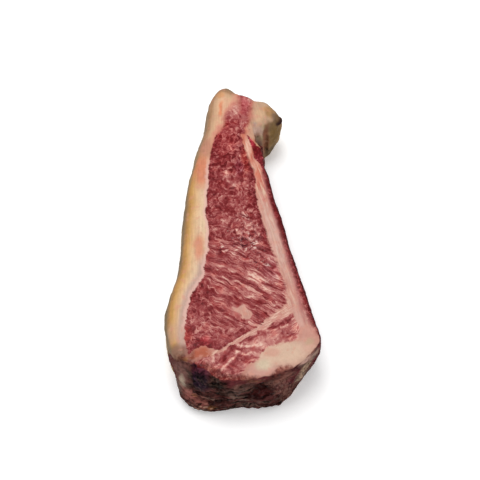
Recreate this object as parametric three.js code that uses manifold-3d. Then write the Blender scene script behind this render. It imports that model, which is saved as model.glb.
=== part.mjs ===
// A thick sirloin steak cut from a dry-aged loin of beef, lying on its lower cut face.
// Millimetres. +Z is up, +Y points to the thin tail end, and the origin is under the middle of the steak.
import * as THREE from "three";
import { mergeVertices } from "three/addons/utils/BufferGeometryUtils.js";
import { ImprovedNoise } from "three/addons/math/ImprovedNoise.js";
import Module from "manifold-3d";

const wasm = await Module();
wasm.setup();

// Driving dimensions of the steak.
const THICKNESS = 46;
const FOOT_ROUND = 4;
const SEAM_GAP = 0.3;

// How finely the outer skin is divided.
const FOOT_ROWS = 2;
const WALL_ROWS = 5;
const SHOULDER_ROWS = 3;
const SKIN_ROWS = FOOT_ROWS + WALL_ROWS + SHOULDER_ROWS;
const LOOP_STEPS = 40;
const SEAM_STEP = 4;

// Wavelengths and heights of the lumps on the dried skin and of the swell of the cut face.
const CRAG_WAVE = 17;
const WRINKLE_WAVE = 8.5;
const WRINKLE_SHARE = 0.45;
const SWELL_WAVE = 46;
const SWELL_HEIGHT = 1.1;

// The loin without the roll of fat at its tail. Each side holds its stations, counter-clockwise from above,
// as [x, y, how far the foot stands out], and is rounded at its upper edge and as craggy as it says.
const LOIN = {
  height: THICKNESS,
  belly: 1.6,
  grid: { across: 20, along: 44 },
  near: {
    round: 3,
    crag: 2.8,
    stations: [
      [-45.5, -97.4, -1], [-36, -105, 9.5], [-25, -112.3, 9.5], [-13, -116, 5.5], [0, -116.3, 2],
      [12, -115, 3.5], [23, -112, 5], [34, -107.5, 2], [43, -101, -4.5],
    ],
  },
  right: {
    round: 3.5,
    crag: 1,
    stations: [
      [52.5, -88, -4], [47.2, -67, 1], [43.3, -51.8, 1], [32.6, -14, 1], [27.8, 7.4, 1],
      [22.4, 25.7, 1], [19.3, 41, 1], [14.7, 58, 0], [9.6, 75.7, 0], [8.2, 92, 0],
    ],
  },
  tail: {
    round: 4,
    crag: 1,
    stations: [[9.5, 112, 1], [3.5, 116.8, 2], [-7, 120.4, 2], [-15.6, 124, 2]],
  },
  left: {
    round: 9,
    crag: 1.1,
    stations: [
      [-22, 119.4, 2], [-25.4, 106, 2.5], [-26.8, 90, 1.5], [-31, 73, 3], [-37, 48.5, 2],
      [-41.2, 14, 0.5], [-43.8, -31, 0], [-48.8, -48, -1], [-52.6, -63, -2], [-52.6, -76, -2], [-50, -88, -1],
    ],
  },
};

// The roll of fat on the right of the tail, in the same form. Its face is a little lower than the loin's.
const ROLL = {
  height: THICKNESS - 1.2,
  belly: 5.5,
  grid: { across: 8, along: 6 },
  near: { round: 3.5, crag: 0.8, stations: [[3, 92, 0], [10.5, 90, 5], [17, 92, 2.5]] },
  right: { round: 5.5, crag: 1.3, stations: [[23.2, 97, -1], [24.6, 102, 1]] },
  tail: { round: 5, crag: 1, stations: [[20.6, 108, 1], [16.5, 111.8, 1], [10.5, 113, 2]] },
  left: { round: 3, crag: 0.3, stations: [[3, 110, 0], [1.5, 100, 0]] },
};

// The fold down the roll's near wall, as the plan of the wedge cut from it.
const FOLD_WEDGE = [[18.2, 94.2], [17.2, 84], [19.9, 84]];
const FOLD_TOP = 41;

// The dried knob on the roll's right shoulder.
const KNOB_CENTRE = [25.6, 100.6, 31];
const KNOB_RADII = [4.6, 3.6, 4.4];

// Seams between the layers, seen from above. Each runs through the whole thickness.
const CAP_SEAM = [
  [-2.5, 128], [-2.5, 112], [-3.5, 102], [-10, 96.5], [-14, 88], [-20.3, 77.5], [-24, 58], [-25.4, 23],
  [-23.6, -10], [-26.3, -37], [-31, -46], [-36, -57.5], [-39, -84], [-35.6, -97.2],
];
const EYE_LOWER_SEAM = [
  [-35.6, -97.2], [-30.5, -93.2], [-25.5, -91.5], [-19.5, -94.3], [-13, -93], [7, -79], [29.3, -60.5],
];
const EYE_RIGHT_SEAM = [
  [29.3, -60.5], [29.7, -49], [26.3, -37.5], [18, -10], [11.3, 18], [7, 46.5], [1.2, 67.5], [0.3, 77.5],
  [5.2, 94], [9, 128],
];
const CHAIN_UPPER_SEAM = [[36, -65.2], [28, -67.6], [9, -82], [-11.5, -96.4], [-20, -98.6], [-31.5, -103.6]];
const CHAIN_LOWER_SEAM = [
  [-1.5, -140], [-1.5, -116], [3.5, -105.2], [9.8, -102], [12.4, -96.6], [19.5, -91.5], [37.6, -87],
];
const CHAIN_RIGHT_SEAM = [[37.6, -87], [38.2, -79], [36, -65.2]];
const EDGE_SEAM = [
  [3.6, 85], [8, 70], [14.3, 49], [20.2, 18], [26.6, -6], [33, -30], [40.2, -58], [47.5, -78], [56, -90],
];

// Points outside the steak, or inside a layer cut earlier, that close the outline of a layer.
const CHAIN_OUTSIDE = [[-39.5, -108], [-41, -140]];
const EDGE_OUTSIDE = [[80, -90], [80, 76], [13, 83.4]];
const ROLL_REGION = [[1.8, 86.2], [3.6, 84.2], [12, 78], [60, 60], [60, 150], [3, 150], [3, 112], [0, 96]];
const CAP_REGION = [
  [-38.4, -140], [-38.4, -108], [-37.2, -103], [-33.6, -96.2], [-25, -84], [-18, -30], [-15, 20], [-12, 62],
  [-3, 92], [2, 112], [2, 150], [-90, 150], [-90, -140],
];

// Colours of the layers on the cut face.
const COLOURS = {
  fat_cap: "#d6b087",
  eye_muscle: "#954846",
  chain_muscle: "#a65a55",
  edge_lean: "#652c2b",
  tail_fat: "#c7a27a",
  seam_fat: "#d7a795",
};
const FAT_ROUGHNESS = 0.45;
const LEAN_ROUGHNESS = 0.35;

const noise = new ImprovedNoise();

// Turns a closed geometry into a solid that can be joined and cut.
function toSolid(geometry) {
  geometry.deleteAttribute("normal");
  geometry.deleteAttribute("uv");
  const merged = mergeVertices(geometry, 1e-4);
  return new wasm.Manifold(
    new wasm.Mesh({
      numProp: 3,
      vertProperties: new Float32Array(merged.attributes.position.array),
      triVerts: new Uint32Array(merged.index.array),
    }),
  );
}

// Turns a solid back into a geometry.
function toGeometry(solid) {
  const mesh = solid.getMesh();
  const geometry = new THREE.BufferGeometry();
  geometry.setAttribute("position", new THREE.BufferAttribute(mesh.vertProperties, 3));
  geometry.setIndex(new THREE.BufferAttribute(mesh.triVerts, 1));
  return geometry;
}

// A closed loop through the stations of all sides, read by the share of the way round.
function outlineLoop(sides) {
  const stations = sides.flatMap(({ round, crag, stations }) => stations.map((s) => [...s, round, crag]));
  const edge = new THREE.CatmullRomCurve3(
    stations.map(([x, y]) => new THREE.Vector3(x, y, 0)),
    true,
    "centripetal",
  );
  edge.arcLengthDivisions = stations.length * LOOP_STEPS;
  const traits = new THREE.CatmullRomCurve3(
    stations.map(([, , flare, round, crag]) => new THREE.Vector3(flare, round, crag)),
    true,
    "catmullrom",
  );
  const lengths = edge.getLengths();
  const shareOf = (station) => lengths[station * LOOP_STEPS] / lengths.at(-1);
  const at = (share) => {
    const t = edge.getUtoTmapping(share % 1);
    const point = edge.getPoint(t);
    const along = edge.getTangent(t);
    const { x: flare, y: round, z: crag } = traits.getPoint(t);
    return { point, outward: new THREE.Vector3(along.y, -along.x, 0), flare, round, crag };
  };
  return { at, shareOf };
}

// Height and inset of a row of the wall: a rounded foot, a wall, and a rounded shoulder.
function wallProfile(w, round, height) {
  const row = w * SKIN_ROWS;
  if (row <= FOOT_ROWS) {
    const turn = ((row / FOOT_ROWS) * Math.PI) / 2;
    return { z: FOOT_ROUND * (1 - Math.cos(turn)), inset: FOOT_ROUND * (1 - Math.sin(turn)) };
  }
  if (row >= FOOT_ROWS + WALL_ROWS) {
    const turn = (((SKIN_ROWS - row) / SHOULDER_ROWS) * Math.PI) / 2;
    return { z: height - round * (1 - Math.cos(turn)), inset: round * (1 - Math.sin(turn)) };
  }
  const up = (row - FOOT_ROWS) / WALL_ROWS;
  return { z: FOOT_ROUND + up * (height - round - FOOT_ROUND), inset: 0 };
}

// The lumps of the dried skin, from -1 to 1.
function crags(p, z) {
  const coarse = noise.noise(p.x / CRAG_WAVE, p.y / CRAG_WAVE, z / CRAG_WAVE + 3.7);
  const fine = noise.noise(p.x / WRINKLE_WAVE, p.y / WRINKLE_WAVE, z / WRINKLE_WAVE + 9.1);
  return coarse + WRINKLE_SHARE * fine;
}

// The gentle swell of the upper cut face.
function swell(x, y) {
  return SWELL_HEIGHT * noise.noise(x / SWELL_WAVE + 0.4, y / SWELL_WAVE + 0.2, 5.3);
}

// A point of a slab's wall on the row at height share w, at a share of the way round its loop.
function wallPoint({ height, belly }, loop, share, w) {
  const { point, outward, flare, round, crag } = loop.at(share);
  const { z, inset } = wallProfile(w, round, height);
  const up = z / height;
  const out = flare * (1 - up) - inset + (belly + crag * crags(point, z)) * Math.sin(Math.PI * up);
  const placed = point.addScaledVector(outward, out);
  placed.z = z + swell(placed.x, placed.y) * up ** 4;
  return placed;
}

// A slab of meat: a box whose walls follow the loop of its four sides and whose faces fill it.
function slab(form) {
  const { near, right, tail, left, grid, height } = form;
  const loop = outlineLoop([near, right, tail, left]);
  const atRight = loop.shareOf(near.stations.length);
  const atTail = loop.shareOf(near.stations.length + right.stations.length);
  const atLeft = loop.shareOf(near.stations.length + right.stations.length + tail.stations.length);
  const sides = {
    near: (u) => u * atRight,
    right: (v) => atRight + v * (atTail - atRight),
    tail: (u) => atTail + (1 - u) * (atLeft - atTail),
    left: (v) => atLeft + (1 - v) * (1 - atLeft),
  };
  const rim = (side, s, w) => wallPoint(form, loop, sides[side](s), w);
  const face = (u, v, w) => {
    const lengthwise = rim("near", u, w).lerp(rim("tail", u, w), v);
    const crosswise = rim("left", v, w).lerp(rim("right", v, w), u);
    const nearCorners = rim("near", 0, w).lerp(rim("near", 1, w), u);
    const tailCorners = rim("tail", 0, w).lerp(rim("tail", 1, w), u);
    const filled = lengthwise.add(crosswise).sub(nearCorners.lerp(tailCorners, v));
    filled.z = w === 0 ? 0 : height + swell(filled.x, filled.y);
    return filled;
  };
  const skinPoint = (u, v, w) => {
    if (v === 0) return rim("near", u, w);
    if (v === 1) return rim("tail", u, w);
    if (u === 0) return rim("left", v, w);
    if (u === 1) return rim("right", v, w);
    return face(u, v, w);
  };
  const box = new THREE.BoxGeometry(1, 1, 1, grid.across, grid.along, SKIN_ROWS);
  const position = box.getAttribute("position");
  for (let i = 0; i < position.count; i++) {
    const u = Math.round((position.getX(i) + 0.5) * grid.across) / grid.across;
    const v = Math.round((position.getY(i) + 0.5) * grid.along) / grid.along;
    const w = Math.round((position.getZ(i) + 0.5) * SKIN_ROWS) / SKIN_ROWS;
    position.setXYZ(i, ...skinPoint(u, v, w).toArray());
  }
  return toSolid(box);
}

// A smooth line through hand-placed points, at even steps.
function seamPoints(points) {
  const line = new THREE.SplineCurve(points.map(([x, y]) => new THREE.Vector2(x, y)));
  return line.getSpacedPoints(Math.ceil(line.getLength() / SEAM_STEP));
}

// Straight stretches between points that lie outside the steak or inside a layer cut earlier.
function cornerPoints(points) {
  return points.map(([x, y]) => new THREE.Vector2(x, y));
}

// Joins stretches into one counter-clockwise loop and drops the points they share.
function closedLoop(...stretches) {
  const points = stretches.flat();
  const kept = points.filter((p, i) => p.distanceTo(points.at(i - 1)) > 0.01);
  return THREE.ShapeUtils.isClockWise(kept) ? kept.reverse() : kept;
}

// Moves a counter-clockwise loop outward, square to its edges.
function grown(loop, distance) {
  return loop.map((p, i) => {
    const before = p.clone().sub(loop.at(i - 1)).normalize();
    const after = loop[(i + 1) % loop.length].clone().sub(p).normalize();
    const normal = new THREE.Vector2(before.y + after.y, -before.x - after.x).normalize();
    const square = normal.dot(new THREE.Vector2(before.y, -before.x));
    return p.clone().addScaledVector(normal, distance / Math.max(square, 0.5));
  });
}

// An upright knife through the whole steak up to a height, with the loop as its section.
function knife(loop, top = 2 * THICKNESS) {
  const depth = THICKNESS + top;
  const tall = new THREE.ExtrudeGeometry(new THREE.Shape(loop), { depth, bevelEnabled: false });
  tall.translate(0, 0, -THICKNESS);
  return toSolid(tall);
}

// The roll of fat beside the tail, with its fold and its dried knob.
function fatRoll() {
  const fold = knife(closedLoop(cornerPoints(FOLD_WEDGE)), FOLD_TOP);
  const knob = new THREE.IcosahedronGeometry(1, 2);
  knob.scale(...KNOB_RADII);
  knob.translate(...KNOB_CENTRE);
  return slab(ROLL).subtract(fold).add(toSolid(knob));
}

// The largest body of a solid: loose scraps beside it are dropped.
function largestBody(solid) {
  return solid.decompose().reduce((a, b) => (a.volume() > b.volume() ? a : b));
}

// Cuts the layers out one after another, each with a thin gap round it. What is left is the fat of the seams.
function layers(steak) {
  const eye = closedLoop(seamPoints(CAP_SEAM), seamPoints(EYE_LOWER_SEAM), seamPoints(EYE_RIGHT_SEAM));
  const chain = closedLoop(
    seamPoints(CHAIN_UPPER_SEAM),
    cornerPoints(CHAIN_OUTSIDE),
    seamPoints(CHAIN_LOWER_SEAM),
    seamPoints(CHAIN_RIGHT_SEAM),
  );
  const edge = closedLoop(seamPoints(EDGE_SEAM), cornerPoints(EDGE_OUTSIDE));
  const roll = closedLoop(cornerPoints(ROLL_REGION));
  const cap = closedLoop(cornerPoints(CAP_REGION));
  const cut = {};
  let rest = steak;
  for (const [name, loop] of Object.entries({
    eye_muscle: eye,
    edge_lean: edge,
    fat_cap: cap,
    chain_muscle: chain,
    tail_fat: roll,
  })) {
    cut[name] = largestBody(rest.intersect(knife(loop)));
    rest = rest.subtract(knife(grown(loop, SEAM_GAP)));
  }
  cut.seam_fat = largestBody(rest);
  return cut;
}

// The finish of a layer on its cut face.
function layerMaterial(name) {
  return new THREE.MeshStandardMaterial({
    color: new THREE.Color(COLOURS[name]),
    roughness: name.includes("fat") ? FAT_ROUGHNESS : LEAN_ROUGHNESS,
    metalness: 0,
  });
}

const whole = slab(LOIN).add(fatRoll());
const { min, max } = whole.boundingBox();

const steak = new THREE.Group();
for (const [name, solid] of Object.entries(layers(whole))) {
  const centred = solid.translate([-(min[0] + max[0]) / 2, -(min[1] + max[1]) / 2, 0]);
  const mesh = new THREE.Mesh(toGeometry(centred), layerMaterial(name));
  mesh.name = name;
  steak.add(mesh);
}

export default steak;
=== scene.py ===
import math

import bpy
import numpy as np
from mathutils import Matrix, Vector, noise
from mathutils.bvhtree import BVHTree
from mathutils.kdtree import KDTree


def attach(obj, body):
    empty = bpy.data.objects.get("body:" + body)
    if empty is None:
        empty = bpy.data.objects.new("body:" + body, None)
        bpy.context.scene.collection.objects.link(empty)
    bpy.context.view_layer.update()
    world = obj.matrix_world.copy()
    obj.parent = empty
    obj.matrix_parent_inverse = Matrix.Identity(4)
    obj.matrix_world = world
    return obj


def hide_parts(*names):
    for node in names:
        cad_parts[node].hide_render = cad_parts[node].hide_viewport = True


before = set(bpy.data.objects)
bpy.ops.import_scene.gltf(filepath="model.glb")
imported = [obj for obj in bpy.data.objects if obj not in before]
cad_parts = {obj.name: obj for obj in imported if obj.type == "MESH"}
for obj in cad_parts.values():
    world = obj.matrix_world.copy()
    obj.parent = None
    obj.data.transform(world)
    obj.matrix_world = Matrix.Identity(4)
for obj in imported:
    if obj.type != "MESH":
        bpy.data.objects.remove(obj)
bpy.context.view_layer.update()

# The steak is one continuous skin round all the layers of the frame. Its lumps, grain and colours
# follow the layers' seams, so fat, marbled lean and dried crust stay where the frame has them.
# Places and sizes are in millimetres unless a name says otherwise.
MM = 0.001
LAYERS = ("fat_cap", "eye_muscle", "seam_fat", "chain_muscle", "edge_lean", "tail_fat")
LEANS = ("eye_muscle", "chain_muscle", "edge_lean")

# The skin closes the thin gaps between the layers, and its facets are smoothed away.
SWELL = 0.18
VOXEL = 0.9
SMOOTH_ROUNDS = 22
SMOOTH_OUT = 0.5
SMOOTH_BACK = -0.52

# What brings the noise to about -1 to 1, and the share of a spot with its full strength.
NOISE_GAIN = 1.6
SPOT_CORE = 0.35


def mix(a, b, share):
    """Blends two numbers by a share from 0 to 1."""
    return a * (1 - share) + b * share


def layered(base, *layers):
    """Lays colours over a base, each by its share at each point."""
    for shade, share in layers:
        base = mix(base, shade, share[:, None])
    return base


def rise(values, low, high):
    """Goes smoothly from 0 at low to 1 at high."""
    t = np.clip((values - low) / (high - low), 0, 1)
    return t * t * (3 - 2 * t)


def lumps(points, wave, seed, stretch=(1, 1, 1)):
    """Soft noise from about -1 to 1 with the given wavelength."""
    scaled = points / (wave * np.array(stretch, float)) + seed
    return np.array([noise.noise(p) for p in scaled.tolist()]) * NOISE_GAIN


def ridges(points, wave, seed, stretch):
    """Sharp crests from 0 to 1 with soft valleys between them."""
    return 1 - np.abs(lumps(points, wave, seed, stretch))


def patches(points, wave, seed, low, high, stretch=(1, 1, 1)):
    """Patches of 1 among 0, with soft borders."""
    return rise(lumps(points, wave, seed, stretch), low, high)


def colour(code):
    """A linear colour from an sRGB hex code."""
    parts = np.array([int(code[i : i + 2], 16) for i in (1, 3, 5)]) / 255
    return np.where(parts <= 0.04045, parts / 12.92, ((parts + 0.055) / 1.055) ** 2.4)


def blob(points, centre, radii):
    """An egg-shaped spot, 1 inside and 0 outside. With two numbers it runs down through the steak."""
    far = np.linalg.norm((points[:, : len(centre)] - centre) / radii, axis=1)
    return 1 - rise(far, SPOT_CORE, 1)


def blobs(points, table):
    """The sum of a table's spots, each times its last number."""
    return sum(amount * blob(points, centre, radii) for centre, radii, amount in table)


def layer_arrays(name):
    """A layer's corners and its triangles, with equal corners joined."""
    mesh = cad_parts[name].data
    mesh.calc_loop_triangles()
    places = np.empty(len(mesh.vertices) * 3)
    mesh.vertices.foreach_get("co", places)
    triangles = np.empty(len(mesh.loop_triangles) * 3, int)
    mesh.loop_triangles.foreach_get("vertices", triangles)
    keys = np.round(places.reshape(-1, 3) / MM, 3)
    corners, where = np.unique(keys, axis=0, return_inverse=True)
    triangles = where.reshape(-1)[triangles].reshape(-1, 3)
    first, second, third = triangles.T
    return corners, triangles[(first != second) & (second != third) & (third != first)]


def corner_normals(places, faces):
    """Normals at the corners of triangles or quads, weighted by area."""
    first, second, third, last = (places[faces[:, side]] for side in (0, 1, 2, -1))
    across = np.cross(third - first, last - second)
    normals = np.zeros_like(places)
    for corner in faces.T:
        for axis in range(3):
            normals[:, axis] += np.bincount(corner, across[:, axis], len(places))
    return normals / np.maximum(np.linalg.norm(normals, axis=1), 1e-9)[:, None]


def placed(name, data):
    """A new object in the scene."""
    made = bpy.data.objects.new(name, data)
    bpy.context.scene.collection.objects.link(made)
    return made


def fused_skin(layers):
    """One closed mesh of quads round all the layers together."""
    places, triangles, count = [], [], 0
    for corners, faces in layers.values():
        places.append(corners + SWELL * corner_normals(corners, faces))
        triangles.append(faces + count)
        count += len(corners)
    mesh = bpy.data.meshes.new("layers")
    mesh.from_pydata(np.concatenate(places).tolist(), [], np.concatenate(triangles).tolist())
    source = placed("layers", mesh)
    remesh = source.modifiers.new("fuse", "REMESH")
    remesh.mode = "VOXEL"
    remesh.voxel_size = VOXEL
    made = source.evaluated_get(bpy.context.evaluated_depsgraph_get()).to_mesh()
    skin = np.empty(len(made.vertices) * 3)
    made.vertices.foreach_get("co", skin)
    quads = np.empty(len(made.loops), int)
    made.loops.foreach_get("vertex_index", quads)
    source.to_mesh_clear()
    bpy.data.objects.remove(source)
    return skin.reshape(-1, 3), quads.reshape(-1, 4)


def smoothed(places, quads):
    """Rounds away the facets and voxel steps without shrinking the form."""
    sides = np.concatenate([quads[:, [i, (i + 1) % 4]] for i in range(4)])
    start, end = sides.T
    shared = np.maximum(np.bincount(start, minlength=len(places)), 1)
    for weight in (SMOOTH_OUT, SMOOTH_BACK) * SMOOTH_ROUNDS:
        mean = np.stack([np.bincount(start, places[end, k], len(places)) / shared for k in range(3)], 1)
        places = places + weight * (mean - places)
    return places


def layer_distances(places, layers):
    """How far each point is from each layer."""
    trees = {name: BVHTree.FromPolygons(c.tolist(), f.tolist()) for name, (c, f) in layers.items()}
    points = places.tolist()
    return {name: np.array([tree.find_nearest(p)[3] for p in points]) for name, tree in trees.items()}


def depth_into(names, distances):
    """How far each point is inside some layers taken together."""
    inside = np.min([distances[n] for n in names], axis=0)
    outside = np.min([distances[n] for n in LAYERS if n not in names], axis=0)
    return (outside - inside) / 2


# The streaks of the eye muscle: places along the steak, and how steeply they fall to the right there.
GRAIN_ALONG = (-100, -75, -45, -17, 10, 30, 60)
GRAIN_SLOPE = (0.5, 0.55, 0.62, 0.42, 0.18, 0.06, 0)
CHAIN_SLOPE = -0.8

# How pale the lean is along the steak, from dark red at 0 to white fat at 1.
PALE_ALONG = (-105, -85, -65, -40, -10, 15, 60, 110)
PALE_EYE = (0.38, 0.385, 0.42, 0.435, 0.395, 0.385, 0.32, 0.53)
PALE_CHAIN = 0.735
PALE_EDGE = 0.26
BORDER_DARK = 0.2

# Fat islands and dark patches inside the lean: place on the cut face, radii, and change of paleness.
LEAN_PATCHES = (
    ((-12, 42), (2.6, 5), 0.14),
    ((-4, 32), (5.5, 2.8), 0.1),
    ((-1.5, -68), (10, 7.5), 0.2),
    ((6.5, -75), (4.5, 6), 0.2),
    ((-6, -80), (4, 7), 0.14),
    ((12, -42), (14, 8), 0.1),
    ((23, -62), (6, 10), 0.08),
    ((25, -44), (6.5, 13), 0.15),
    ((20, -29), (8, 4), 0.2),
    ((6, -4), (11, 7), 0.14),
    ((-3, 98), (4.5, 9), 0.14),
    ((-6.5, 101), (6, 11), 0.12),
    ((5, 108), (7, 7), 0.08),
    ((2.6, 56), (3.5, 15), 0.22),
    ((14.5, 53), (5, 9), 0.22),
    ((5, 52), (7, 14), -0.12),
    ((7, 16), (10, 15), -0.1),
    ((19, -34), (6, 13), -0.06),
    ((-28, -58), (11, 24), -0.1),
    ((-4, -105), (13, 11), -0.14),
    ((31, -83.5), (9, 9), -0.22),
    ((19.4, -91.5), (7, 4.5), -0.12),
    ((-9, -53), (12, 5), 0.1),
    ((-24, -98), (5, 4), -0.1),
)

# Where the marbling is smoother than elsewhere.
CALM_PATCHES = (
    ((-1.5, -68), (10, 7.5), 0.75),
    ((-8.5, 36), (6, 5), 0.5),
    ((-30, -60), (12, 26), 0.3),
    ((0, 102), (17, 20), 0.45),
    ((0, -100), (34, 26), 0.5),
    ((24, -88), (16, 12), 0.4),
)

# Where painted highlights make the torn surface glint, with black gaps of painted shade between the
# glints: place, radii, and strength.
GLINTS = (
    ((6, -14), (12, 11), 1),
    ((1, 7), (7, 4.5), 0.8),
    ((-14, -21), (6, 4.5), 0.9),
    ((14, -31), (10, 7), 0.8),
    ((-9, -4), (6, 5), 0.4),
    ((16, -47), (8, 6), 0.4),
)

# Seams and veins of fat inside the lean: both ends on the cut face, width, and change of paleness.
VEINS = (
    ((-13.3, -111.8), (-6.4, -103.1), 1.5, 0.35),
    ((-6.4, -103.1), (-2.7, -99.5), 1.5, 0.35),
    ((-2.7, -99.5), (5.3, -99.1), 1.3, 0.3),
    ((-3.4, -93.3), (3.3, -94.7), 1.8, 0.3),
    ((3.3, -94.7), (10, -94), 1.8, 0.2),
    ((10, -94), (14.7, -90.7), 1.8, 0.15),
    ((-0.1, -90.7), (15.4, -84.4), 2.4, -0.3),
    ((18.8, -79.6), (31.1, -76.2), 3, -0.34),
    ((-5.4, -96.2), (13.3, -97.7), 2.9, -0.2),
    ((-4.1, -101.7), (10.6, -103.8), 2.9, -0.18),
    ((-11.4, -101.7), (-6.7, -95.8), 4.2, -0.26),
    ((-16.6, -106), (-12, -103.1), 3.4, -0.24),
    ((-9.3, -108.9), (-5.4, -113.2), 1.3, -0.26),
    ((-6.7, -107.4), (-1.4, -111.8), 1.3, -0.26),
    ((-0.1, -104.6), (7.9, -107.4), 1.3, -0.26),
    ((0.7, -48.4), (13, -57.6), 3, 0.16),
    ((9, -40), (24, -60), 2.6, 0.14),
    ((-19.3, -50.7), (0.7, -58.4), 2.6, 0.12),
    ((-25.1, -29.5), (-4.9, -39), 1.6, 0.13),
    ((-25.7, -38.2), (-4.8, -45.3), 1.6, 0.13),
    ((-12.5, 45), (-9.5, 36.5), 1.8, 0.24),
    ((-9.5, 36.5), (-3, 31), 2, 0.24),
    ((-10, 72), (-7, 58), 1.2, 0.15),
    ((2, 14), (16, 8), 1.3, 0.2),
    ((-2, -8), (12, -16), 1.6, 0.18),
    ((8, -15.5), (24, -23.5), 3, -0.22),
)

# The thin diagonal seam: places across and along the steak, and half its width there. Then its slope,
# and how much of a length along the steak is square to it.
SEAM_ACROSS = (-21.3, -13.4, -2.7, 3.3, 15.5, 23.7, 34.7)
SEAM_ALONG = (-101.7, -97.3, -90, -85.2, -80, -72.1, -66.8)
SEAM_HALF = (0.7, 0.7, 0.8, 1, 1.6, 2.4, 3)
SEAM_SLOPE = 0.62
SEAM_SQUARE = 0.84

# Where the lean reaches further into the fat than the layers do, or less far: place, radii, amount.
LEAN_REACH = (
    ((-8, 98), (8, 15), 2.4),
    ((-24.5, 9), (7, 8), 0.6),
    ((-25, -30), (8, 10), 0.5),
    ((-24, 34), (7, 7), -0.4),
    ((15, 66), (5, 14), 0.8),
)

# Tongues of lean and thin lines of fat, as paths on the cut face with half the width at each corner.
LEAN_TONGUES = (
    ((4.6, 77, 0.7), (7.1, 72.2, 2.1), (10.8, 65, 3.3), (12.2, 57, 3), (15.5, 49, 1.4)),
    ((-2, 74, 1), (1.2, 62, 1.6), (5.8, 47, 3), (9, 32, 1.2)),
    ((-17, -101.2, 1.8), (-5, -95.8, 2.2), (8, -88.6, 2.2)),
)
FAT_LINES = (
    ((3, 84, 1.4), (8.1, 75.2, 1.5), (14, 65.4, 1.3)),
    ((8, 82, 2.6), (15, 71.5, 2.6)),
    ((0.6, 78, 1.1), (4.4, 67, 1.8), (6.8, 57, 2.2)),
    ((6.8, 57, 2.3), (11.6, 46.5, 2.3)),
    ((-6, -66, 0.8), (-1, -68, 2.4)),
    ((0, -66.5, 3.4), (3, -71, 3.4)),
)

# Where the dark strip along the right side begins: places along the steak, and across it.
STRIP_ALONG = (-96, -90, -80, -71, -61, -52, -42, -33, -22, -12, 8, 18, 29, 45)
STRIP_ACROSS = (54, 50.9, 45.8, 40.9, 39.8, 38, 35.9, 32.6, 30.4, 28, 23, 20.2, 17.7, 14.6)

# The middle of the island of fat, and the near right part of the face, where fat is plain.
ISLAND = (0, -69)
NEAR_RIGHT = ((26, -96), (46, 32))


def into_strip(points):
    """How far each point is inside the dark strip along the right side."""
    return points[:, 0] - np.interp(points[:, 1], STRIP_ALONG, STRIP_ACROSS)


def liveliness(points):
    """How strongly fat and lean differ: 1 is the usual amount."""
    return 0.95 + 0.15 * rise(-points[:, 1], 20, 50) - blobs(points, CALM_PATCHES)


def streakiness(points):
    """1 where the lean has long streaks, 0 where it has small cells."""
    left = blob(points, (-29, -62), (15, 28))
    low = rise(-points[:, 1], 72, 86)
    in_strip = rise(into_strip(points), -4, -1)
    return rise(-points[:, 1], -8, 32) * (1 - 0.8 * left) * (1 - 0.55 * low) * (1 - in_strip)


def beside(points, start, end):
    """How far each point is from a line on the cut face, and its share of the way along."""
    along = np.subtract(end, start)
    here = points[:, :2] - start
    share = np.clip(here @ along / (along @ along), 0, 1)
    return np.linalg.norm(here - share[:, None] * along, axis=1), share


def into_path(points, path):
    """How far each point is inside a path on the cut face."""
    reach = -np.inf
    for (*start, near), (*end, far) in zip(path, path[1:]):
        away, share = beside(points, start, end)
        reach = np.maximum(reach, mix(near, far, share) - away)
    return reach


def wavy(points, amount, wave=5, seeds=(31, 37, 43)):
    """The points pushed about, so that what follows them gets wavy edges."""
    return points + amount * np.stack([lumps(points, wave, seed) for seed in seeds], 1)


def below_seam(points):
    """How far each point is from the diagonal seam, above 0 on the chain's side."""
    return SEAM_SQUARE * (np.interp(points[:, 0], SEAM_ACROSS, SEAM_ALONG) - points[:, 1])


def paleness(points, depths):
    """How pale the lean is: dark red at 0, white fat at 1."""
    y = points[:, 1]
    pale = np.interp(y, PALE_ALONG, PALE_EYE)
    pale = mix(pale, PALE_CHAIN, rise(below_seam(points), 0, 1) * rise(-y, 62, 64))
    pale = mix(pale, PALE_EDGE, rise(depths["edge_lean"], -0.4, 0.4))
    right_side = rise(points[:, 0] - np.interp(y, (-80, 0, 60), (5, 0, -2)), -4, 8)
    at_border = 1 - rise(depths["eye_muscle"], 0.6, 2.4)
    pale = pale - BORDER_DARK * at_border * mix(0.4, rise(y, -45, 0), right_side) * rise(-y, -85, -60)
    bent = wavy(points, 1.1)
    pale = pale + blobs(2 * bent - points, LEAN_PATCHES)
    for start, end, width, change in VEINS:
        away, _ = beside(bent, start, end)
        pale = pale + change * (1 - rise(away, 0.3 * width, 0.9 * width))
    return pale + 0.05 * lumps(points, 17, 21)


def grain(points):
    """Coordinates along and across the streaks, which bend with the muscle."""
    x, y, _ = points.T
    across = y + np.interp(y, GRAIN_ALONG, GRAIN_SLOPE) * x
    in_chain = rise(below_seam(points), -0.5, 0.5) * rise(-y, 62, 64)
    along = mix(x, 1.6 * (0.75 * x + 0.6 * y), in_chain)
    across = mix(across, 0.8 * y + CHAIN_SLOPE * 0.8 * x, in_chain)
    return along, across


def lean_reach(points, depths):
    """Distance from the edge of the lean, above 0 inside it."""
    reach = depths["lean"] + blobs(points, LEAN_REACH)
    bent = wavy(points, 0.6)
    strip = into_strip(bent)
    beyond_band = (strip > -6) & (points[:, 1] < STRIP_ALONG[-1])
    reach = np.where(beyond_band, np.minimum(reach, strip), reach)
    on_seam = np.interp(points[:, 0], SEAM_ACROSS, SEAM_HALF) - np.abs(below_seam(bent))
    for path in LEAN_TONGUES:
        reach = np.maximum(reach, into_path(bent, path))
    for path in FAT_LINES:
        reach = np.minimum(reach, -into_path(bent, path))
    has_seam = (points[:, 0] > SEAM_ACROSS[0]) & (points[:, 0] < SEAM_ACROSS[-1])
    return np.where(has_seam, np.minimum(reach, -on_seam), reach)


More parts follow.
